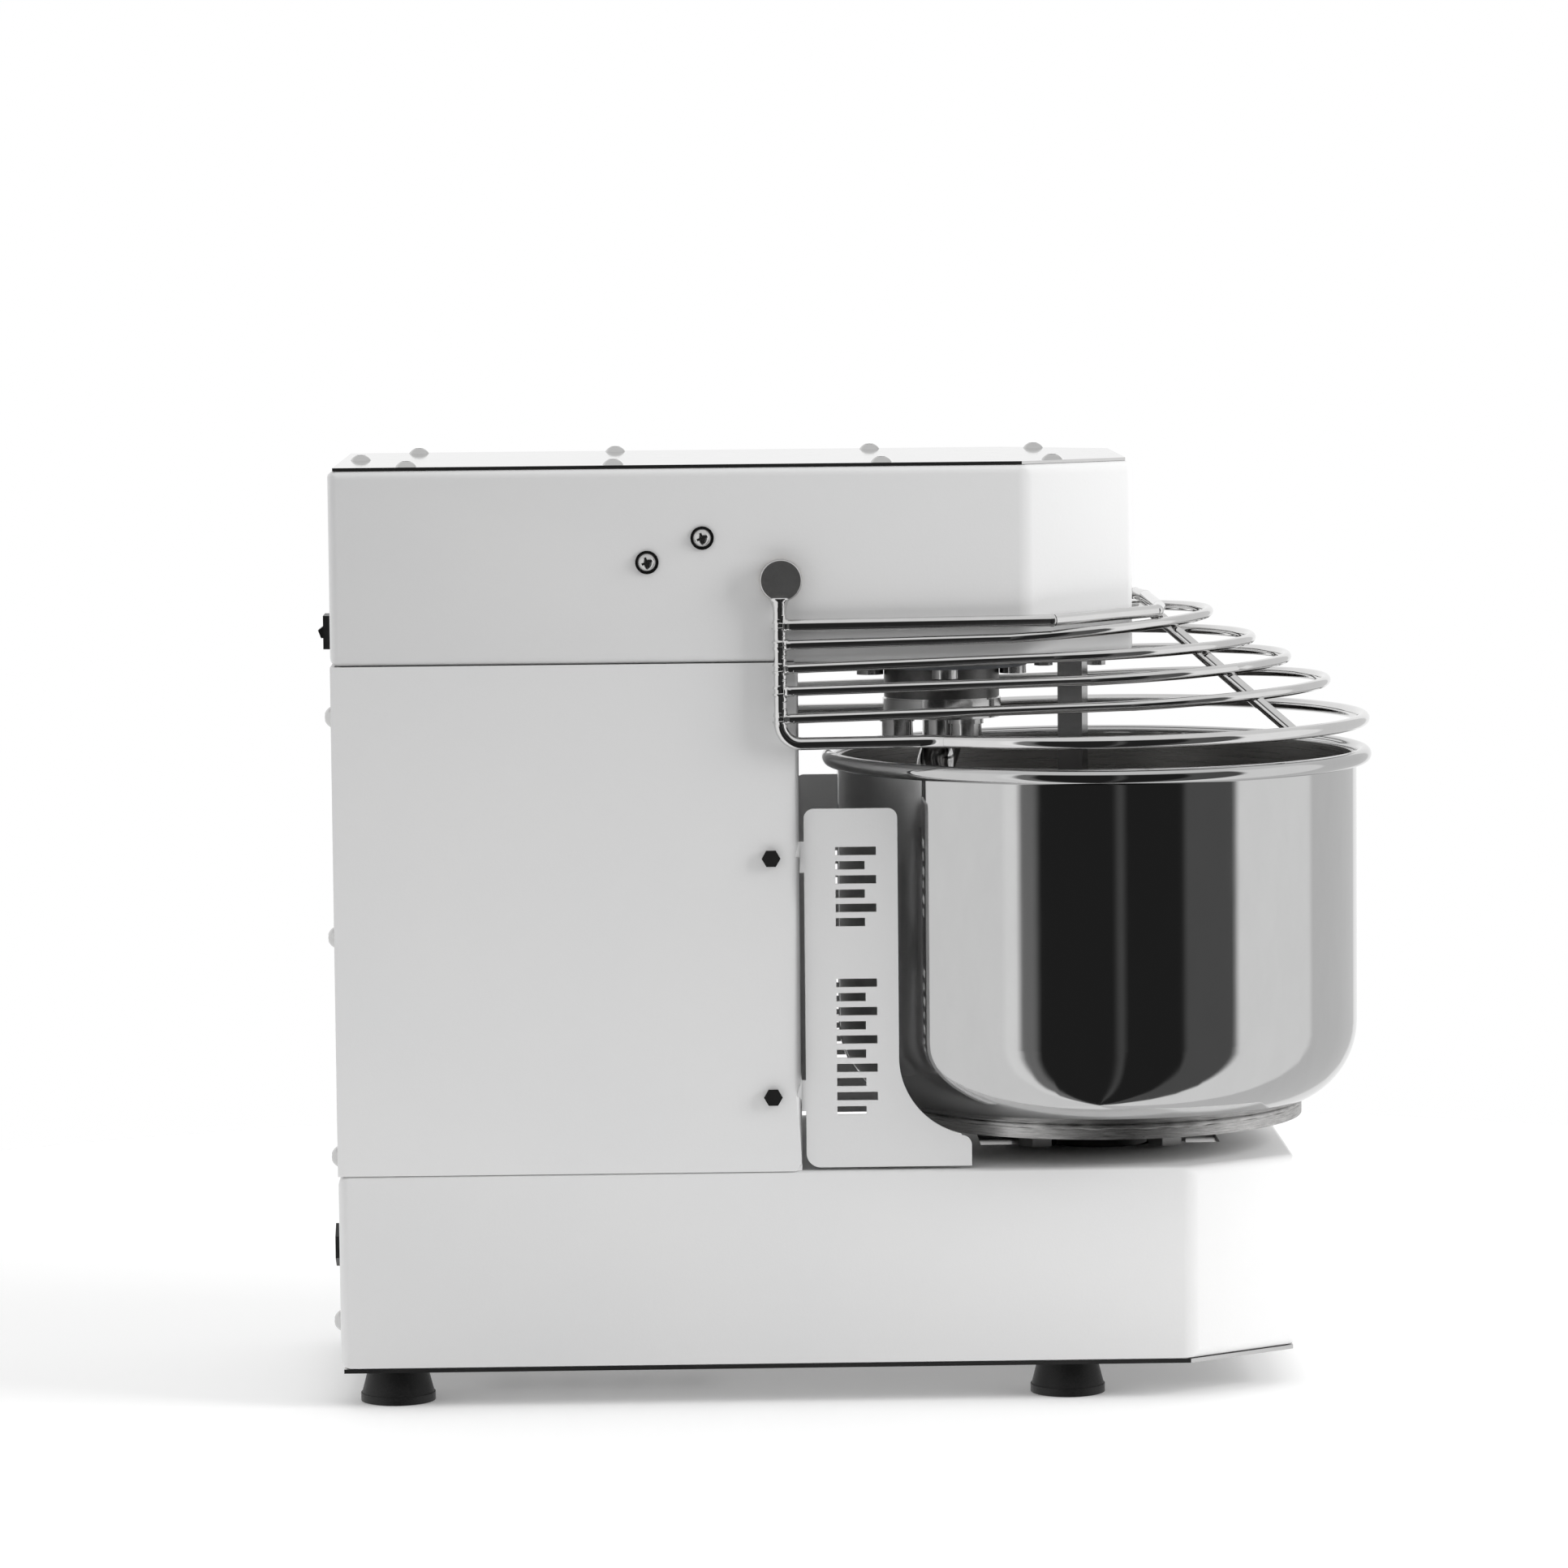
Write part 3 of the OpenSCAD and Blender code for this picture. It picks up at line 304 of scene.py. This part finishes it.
MATS = {
    "white_paint": powder_coat("white_powder_coat", 0.80),
    "plate_paint": powder_coat("side_plate_coat", 0.77),
    "sheet_steel": brushed("stainless_sheet", 0.62, 0.24),
    "lid": polished("polished_lid", 0.68, 0.05, 0.01, 0.04, 40),
    "fasteners": polished("stainless_fasteners", 0.62, 0.13, 0.03, 0.05, 300),
    "black_washer": polished("dark_washer", 0.16, 0.25, 0.03, 0.05, 300),
    "black_rubber": rubber("black_rubber"),
    "black_plastic": plastic("black_plastic", 0.012, 0.38),
    "drive_casting": enamel("machined_casting", (0.22, 0.23, 0.25, 1)),
    "motor_paint": enamel("motor_enamel", (0.05, 0.06, 0.08, 1)),
    "dark_steel": oiled("oiled_steel", 0.20, 0.28),
    "bearing_steel": brushed("bearing_steel", 0.55, 0.2, (2400, 2400, 40)),
    "polished_steel": polished("polished_steel", 0.62, 0.08, 0.03, 0.06, 120),
    "hook": polished("polished_hook", 0.66, 0.07, 0.05, 0.05, 90),
    "bar": brushed("breaker_bar_steel", 0.40, 0.11, (2200, 2200, 40)),
    "bowl_steel": bowl_steel("bowl_steel"),
    "bowl_disc": rough_cut("rough_cut_steel"),
    "guard_chrome": polished("bright_wire", 0.74, 0.05, 0.05, 0.04, 150),
    "boss_face": brushed("turned_boss", 0.66, 0.42, (1500, 60, 1500)),
    "dark_flange": oiled("dark_flange", 0.10, 0.45),
    "bush_bronze": bronze("sintered_bronze"),
}
# Nodes that look different from the rest of their slot.
OWN_MATERIAL = {
    "side_plate_near": "plate_paint",
    "side_plate_far": "plate_paint",
    "lid_plate": "lid",
    "guard_bosses": "boss_face",
    "bowl_disc": "bowl_disc",
    "breaker_bar": "bar",
    "spiral_hook": "hook",
    "bowl_shaft": "dark_flange",
}
for part in frame["record"]["subparts"]:
    node = part["node"]
    obj = NODES[node]
    mat = MATS[OWN_MATERIAL.get(node, part["material_slot"])]
    obj.data.materials.clear()
    obj.data.materials.append(mat)


# ---------------------------------------------------------------- rounded folds on the sheet housings
FOLD_R, COLUMN_FOLD_R = 0.0045, 0.0035
FOLD_SEGMENTS = 4
SMOOTH_BELOW_DEG = 35
SAME = 0.00001
UPRIGHT_MIN = 0.05
RIM_MIN = 0.03
OUTLINE_BAND = 0.0008
COLUMN_BAND = 0.0001


def round_edges(node, width, picks):
    """Rounds the CAD node's edges for which picks(a, b) is true, with a weld and a weighted bevel."""
    obj = NODES[node]
    mesh = obj.data
    weights = mesh.attributes.get("bevel_weight_edge") or mesh.attributes.new("bevel_weight_edge", "FLOAT", "EDGE")
    for edge in mesh.edges:
        a, b = (mesh.vertices[i].co for i in edge.vertices)
        weights.data[edge.index].value = 1.0 if picks(a, b) else 0.0
    weld = obj.modifiers.new("weld", "WELD")
    weld.merge_threshold = SAME
    bevel = obj.modifiers.new("fold", "BEVEL")
    bevel.width = width
    bevel.segments = FOLD_SEGMENTS
    bevel.limit_method = "WEIGHT"
    bevel.use_clamp_overlap = False
    smooth_by_angle(obj)


def smooth_by_angle(obj):
    """Smooth shading across every edge flatter than SMOOTH_BELOW_DEG."""
    for poly in obj.data.polygons:
        poly.use_smooth = True
    tree = bpy.data.node_groups.get("smooth_angle")
    if tree is None:
        tree = bpy.data.node_groups.new("smooth_angle", "GeometryNodeTree")
        tree.interface.new_socket("Geometry", in_out="INPUT", socket_type="NodeSocketGeometry")
        tree.interface.new_socket("Geometry", in_out="OUTPUT", socket_type="NodeSocketGeometry")
        source = tree.nodes.new("NodeGroupInput")
        out = tree.nodes.new("NodeGroupOutput")
        angle = tree.nodes.new("GeometryNodeInputMeshEdgeAngle")
        less = tree.nodes.new("FunctionNodeCompare")
        less.operation = "LESS_EQUAL"
        less.inputs["B"].default_value = math.radians(SMOOTH_BELOW_DEG)
        edge = tree.nodes.new("GeometryNodeSetShadeSmooth")
        edge.domain = "EDGE"
        tree.links.new(source.outputs[0], edge.inputs["Geometry"])
        tree.links.new(angle.outputs["Unsigned Angle"], less.inputs["A"])
        tree.links.new(less.outputs[0], edge.inputs["Shade Smooth"])
        tree.links.new(edge.outputs[0], out.inputs[0])
    mod = obj.modifiers.new("smooth_angle", "NODES")
    mod.node_group = tree


def outer_folds(node):
    """Picks the upright folds and the long top and bottom rims on the sides and ends of the node's box."""
    lo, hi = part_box(node)

    def outside(p):
        on_side = abs(abs(p.y) - hi.y) < OUTLINE_BAND
        return on_side or min(abs(p.x - lo.x), abs(p.x - hi.x)) < OUTLINE_BAND

    def pick(a, b):
        upright = abs(a.x - b.x) < SAME and abs(a.y - b.y) < SAME and abs(a.z - b.z) > UPRIGHT_MIN
        at_rim = abs(a.z - b.z) < SAME and min(abs(a.z - lo.z), abs(a.z - hi.z)) < SAME
        return outside(a) and outside(b) and (upright or (at_rim and (a - b).length > RIM_MIN))

    return pick


def column_front(a, b):
    """Picks the two upright front corners of the column."""
    at_front = abs(a.x - COLUMN_FRONT_X) < COLUMN_BAND and abs(b.x - COLUMN_FRONT_X) < COLUMN_BAND
    return at_front and abs(a.z - b.z) > UPRIGHT_MIN and abs(abs(a.y) - COLUMN_HALF_Y) < COLUMN_BAND


for housing in ("base_housing", "head_housing"):
    round_edges(housing, FOLD_R, outer_folds(housing))
round_edges("column_housing", COLUMN_FOLD_R, column_front)


# ---------------------------------------------------------------- pieces built here
def add_piece(name, bm, body, mat, replaces=()):
    """Makes a smooth shaded piece of bm that rides on body."""
    mesh = bpy.data.meshes.new(name)
    bmesh.ops.recalc_face_normals(bm, faces=bm.faces)
    bm.to_mesh(mesh)
    bm.free()
    mesh.materials.append(MATS[mat])
    for poly in mesh.polygons:
        poly.use_smooth = True
    obj = bpy.data.objects.new(name, mesh)
    SCENE.collection.objects.link(obj)
    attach(obj, body)
    if replaces:
        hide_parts(*replaces)


def skin(bm, a, b):
    """Faces between two rings of equally many points."""
    sides = len(a)
    for j in range(sides):
        k = (j + 1) % sides
        bm.faces.new((a[j], a[k], b[k], b[j]))


def skin_all(bm, rings):
    """Faces along all rings and over both ends."""
    for a, b in zip(rings, rings[1:]):
        skin(bm, a, b)
    bm.faces.new(list(reversed(rings[0])))
    bm.faces.new(rings[-1])


def across(ahead, up):
    """The two directions square to ahead, the first one near up."""
    up = (up - ahead * up.dot(ahead)).normalized()
    return up, ahead.cross(up)


def tube(bm, path, radii, sides):
    """A closed tube along path whose rings turn as little as they can."""
    rings = []
    up = Vector((0, 1, 0))
    for i, p in enumerate(path):
        ahead = (path[min(i + 1, len(path) - 1)] - path[max(i - 1, 0)]).normalized()
        up, side = across(ahead, up)
        ring = []
        for j in range(sides):
            a = 2 * math.pi * j / sides
            ring.append(bm.verts.new(p + radii[i] * (math.cos(a) * up + math.sin(a) * side)))
        rings.append(ring)
    skin_all(bm, rings)


# The spiral: the same path as its CAD solid, swept smoothly, with a rounded tip.
HOOK_TOP, HOOK_LOW = 0.3315, 0.1505
HOOK_SWEEP, HOOK_END_SWEEP = 0.037, 0.025
HOOK_ROD, HOOK_TURNS, HOOK_START_DEG = 0.0196, 1.75, 205
HOOK_STRAIGHT = 0.07  # share of the path that goes straight down from the disc
HOOK_FLAT = 0.9  # from here on the path levels out
HOOK_STEPS, HOOK_TIP_STEPS, HOOK_SIDES = 240, 12, 40


def clamp(t):
    return max(0.0, min(1.0, t))


def ease(t):
    t = clamp(t)
    return t * t * (3 - 2 * t)


def hook_point(u):
    r = HOOK_SWEEP * ease((u - HOOK_STRAIGHT) / 0.24) - (HOOK_SWEEP - HOOK_END_SWEEP) * ease((u - 0.70) / 0.30)
    turned = clamp((u - HOOK_STRAIGHT) / (1 - HOOK_STRAIGHT)) ** 1.12
    a = math.radians(HOOK_START_DEG + 360 * HOOK_TURNS * turned)
    fall = u * 1.03 if u < HOOK_FLAT else 0.927 + 0.073 * ease((u - HOOK_FLAT) / 0.1)
    return Vector((SPIRAL_X + r * math.cos(a), r * math.sin(a), HOOK_TOP - (HOOK_TOP - HOOK_LOW) * fall))


def smooth_hook():
    path = [hook_point(i / HOOK_STEPS) for i in range(HOOK_STEPS + 1)]
    radii = []
    for i in range(HOOK_STEPS + 1):
        t = max(0.0, (i - HOOK_STEPS + HOOK_TIP_STEPS) / (HOOK_TIP_STEPS + 0.6))
        radii.append(HOOK_ROD / 2 * math.sqrt(max(0.02, 1 - t * t)))
    bm = bmesh.new()
    tube(bm, path, radii, HOOK_SIDES)
    add_piece("hook_rod", bm, "spiral", "hook", ["spiral_hook"])


smooth_hook()


# Weld fillets where the wires of the guard meet: flared collars with an uneven, hand-welded skin.
COLLAR_SIDES, COLLAR_ROWS = 20, 8
TOP_WIRE_R, HOOP_WIRE_R, LEG_WIRE_R = 0.0030, 0.0025, 0.0031


def wobble(p, seed):
    """How far the skin stands out or in at p, as a share of the radius."""
    return 0.10 * math.sin(p.x * 2100 + seed) * math.sin(p.y * 1900 + 2 * seed) + 0.06 * math.sin(p.z * 2600 + seed)


def collar(bm, base, ahead, wire_r, flare, length, seed):
    """A closed collar round a wire, widest and most uneven at its base."""
    ahead = ahead.normalized()
    up, side = across(ahead, Vector((0, 0, 1)) if abs(ahead.z) < 0.9 else Vector((1, 0, 0)))
    rings = []
    for i in range(COLLAR_ROWS + 1):
        t = i / COLLAR_ROWS
        centre = base + ahead * (length * t)
        r = wire_r * 0.97 + flare * (1 - t) ** 2.2
        ring = []
        for j in range(COLLAR_SIDES):
            a = 2 * math.pi * j / COLLAR_SIDES
            d = math.cos(a) * up + math.sin(a) * side
            ring.append(bm.verts.new(centre + d * r * (1 + wobble(centre + d * r, seed) * (1 - t))))
        rings.append(ring)
    skin_all(bm, rings)


def guard_welds():
    bm = bmesh.new()
    for s in (-1, 1):
        y = s * GUARD_LEG_Y
        for i, z in enumerate(GUARD_HOOP_Z):
            wire = TOP_WIRE_R if i == 0 else HOOP_WIRE_R
            collar(bm, Vector((GUARD_ARM_X + 0.0016, y, z)), Vector((1, 0, 0)), wire, 0.0014, 0.0052, i + s)
            for up in (-1, 1):
                base = Vector((GUARD_ARM_X, y, z + up * 0.0008))
                collar(bm, base, Vector((0.10, 0, up)), LEG_WIRE_R, 0.0009, 0.0046, 3 * i + up + s)
        neck = Vector((GUARD_ARM_X, y, GUARD_PIVOT_Z - 0.0085))
        collar(bm, neck, Vector((0, 0, -1)), LEG_WIRE_R, 0.0026, 0.0085, 7 + s)
    add_piece("guard_weld_fillets", bm, "guard", "guard_chrome")


guard_welds()


# The weld that joins the bowl to its bottom disc: an uneven bead all round.
BEAD_RING_R, BEAD_Z, BEAD_R = 0.1018, 0.1356, 0.0014
BEAD_COUNT, BEAD_SIDES = 240, 12


def bowl_weld():
    bm = bmesh.new()
    rings = []
    for i in range(BEAD_COUNT):
        a = 2 * math.pi * i / BEAD_COUNT
        r = BEAD_R + 0.00025 * math.sin(37 * a) * math.sin(11 * a + 1)
        out = Vector((math.cos(a), math.sin(a), 0))
        centre = Vector((BOWL_X, 0, BEAD_Z)) + out * BEAD_RING_R
        ring = []
        for j in range(BEAD_SIDES):
            b = 2 * math.pi * j / BEAD_SIDES
            ring.append(bm.verts.new(centre + out * (r * math.cos(b)) + Vector((0, 0, r * math.sin(b)))))
        rings.append(ring)
    for i in range(BEAD_COUNT):
        skin(bm, rings[i], rings[(i + 1) % BEAD_COUNT])
    add_piece("bowl_weld_bead", bm, "bowl", "bowl_disc")


bowl_weld()


# ---------------------------------------------------------------- camera
def make_camera():
    """A long lens in front of the near side, a little above the bowl."""
    data = bpy.data.cameras.new("camera")
    data.sensor_width = 36
    data.lens = 146.617
    data.shift_y = 0.00327
    data.clip_start, data.clip_end = 0.05, 60
    cam = bpy.data.objects.new("camera", data)
    right = Vector((0.99975, -0.01996, -0.00956))
    up = Vector((0.01131, 0.08937, 0.99593))
    ahead = Vector((0.0190, 0.9958, -0.0896))
    turn = Matrix((right, up, -ahead)).transposed()
    cam.matrix_world = Matrix.Translation((-0.0946, -3.20737, 0.58367)) @ turn.to_4x4()
    SCENE.collection.objects.link(cam)
    SCENE.camera = cam


# ---------------------------------------------------------------- studio
OVERHEAD = 0.78
OVERHEAD_FROM, OVERHEAD_FULL = 0.50, 0.66  # height of the direction looked in, 1 being straight up
BACKDROP = 1.0

# The studio that the polished parts mirror, walking once round from straight behind the machine: each
# panel's name, the bearing in degrees from the camera's side where it ends, and its brightness.
PANELS = [
    ("back wall", -120, 0.95),
    ("left wall", -45, 0.9),
    ("left softbox", -38, 1.0),
    ("left grey cloth", -30, 0.2),
    ("black cloth", 5, 0.02),
    ("camera stand", 8, 0.1),
    ("black cloth", 35, 0.02),
    ("right grey cloth", 60, 0.1),
    ("right softbox", 105, 0.95),
    ("right wall", 155, 0.7),
    ("back wall", 180, 0.95),
]
PANEL_SOFT_EDGE = 3  # degrees over which one panel fades into the next


def panel_edges():
    """The bearings and levels where each panel's even part starts and ends."""
    edges = [(-180, PANELS[0][2])]
    for (_, end, level), (_, _, next_level) in zip(PANELS, PANELS[1:]):
        edges += [(end - PANEL_SOFT_EDGE / 2, level), (end + PANEL_SOFT_EDGE / 2, next_level)]
    return edges + [(180, PANELS[-1][2])]


def make_world():
    world = bpy.data.worlds.new("studio")
    SCENE.world = world
    world.use_nodes = True
    tree = world.node_tree
    tree.nodes.clear()

    def node(kind, *links, **props):
        n = tree.nodes.new("ShaderNode" + kind)
        for key, value in props.items():
            setattr(n, key, value)
        for i, value in enumerate(links):
            if isinstance(value, bpy.types.NodeSocket):
                tree.links.new(value, n.inputs[i])
            elif value is not None:
                n.inputs[i].default_value = value
        return n

    xyz = node("SeparateXYZ", node("TexCoord").outputs["Generated"])
    back = node("Math", xyz.outputs[1], -1.0, operation="MULTIPLY")
    bearing = node("Math", xyz.outputs[0], back.outputs[0], operation="ARCTAN2")
    turn = node("MapRange", bearing.outputs[0], -math.pi, math.pi, 0.0, 1.0)
    ramp = node("ValToRGB", turn.outputs[0])
    stops = ramp.color_ramp.elements
    for i, (degrees, level) in enumerate(panel_edges()):
        place = (degrees + 180) / 360
        stop = stops[i] if i < 2 else stops.new(place)
        stop.position = place
        stop.color = grey(level)
    # above 30 to 40 degrees a broad overhead light takes over
    high = node("MapRange", xyz.outputs[2], OVERHEAD_FROM, OVERHEAD_FULL, 0.0, 1.0)
    over = node("Mix", data_type="RGBA")
    tree.links.new(high.outputs[0], over.inputs["Factor"])
    tree.links.new(ramp.outputs[0], over.inputs["A"])
    over.inputs["B"].default_value = grey(OVERHEAD)
    # the camera itself sees a plain backdrop
    seen = node("LightPath")
    final = node("Mix", data_type="RGBA")
    tree.links.new(seen.outputs["Is Camera Ray"], final.inputs["Factor"])
    tree.links.new(over.outputs["Result"], final.inputs["A"])
    final.inputs["B"].default_value = grey(BACKDROP)
    light = node("Background", final.outputs["Result"], 1.0)
    node("OutputWorld", light.outputs[0])


def area(name, place, target, size, watts):
    """A soft light that shows in no mirror."""
    data = bpy.data.lights.new(name, "AREA")
    data.shape = "RECTANGLE"
    data.size, data.size_y = size
    data.energy = watts
    light = bpy.data.objects.new(name, data)
    light.location = place
    light.rotation_euler = (Vector(target) - Vector(place)).to_track_quat("-Z", "Y").to_euler()
    light.visible_glossy = False
    light.visible_camera = False
    SCENE.collection.objects.link(light)


FLOOR_RINGS = [0.35, 0.6, 0.8, 0.95]
FLOOR_SIDES = 96
FLOOR_DROP = 0.0002


def make_floor():
    """A round white table top under the machine, bright enough to meet the white backdrop."""
    bm = bmesh.new()
    centre = bm.verts.new((0, 0, 0))
    turns = [2 * math.pi * i / FLOOR_SIDES for i in range(FLOOR_SIDES)]
    last = None
    for r in FLOOR_RINGS:
        ring = [bm.verts.new((r * math.cos(a), r * math.sin(a), 0)) for a in turns]
        for i in range(FLOOR_SIDES):
            j = (i + 1) % FLOOR_SIDES
            bm.faces.new([centre, ring[i], ring[j]] if last is None else [last[i], ring[i], ring[j], last[j]])
        last = ring
    mesh = bpy.data.meshes.new("table_top")
    bm.to_mesh(mesh)
    bm.free()
    floor = bpy.data.objects.new("table_top", mesh)
    floor.location.z = -FLOOR_DROP
    SCENE.collection.objects.link(floor)
    g = Graph("table_white")
    cloud = g.noise(g.object, 5, 2, 0.5)
    g.set(Base_Color=g.mix(cloud, grey(0.90), grey(0.92)), Roughness=0.7, Specular_IOR_Level=0.15)
    g.set(Emission_Color=grey(1.0), Emission_Strength=0.14)
    floor.data.materials.append(g.mat)
    floor.visible_glossy = False


make_camera()
make_world()
area("key_top", (0.1, 0.1, 1.9), (0.0, 0.0, 0.2), (2.2, 2.0), 7)
area("front_fill", (-0.5, -2.8, 1.1), (0.0, 0.0, 0.25), (1.6, 1.0), 4.3)
area("right_box", (1.88, -0.68, 1.0), (0.15, 0.0, 0.25), (0.9, 1.3), 28)
make_floor()
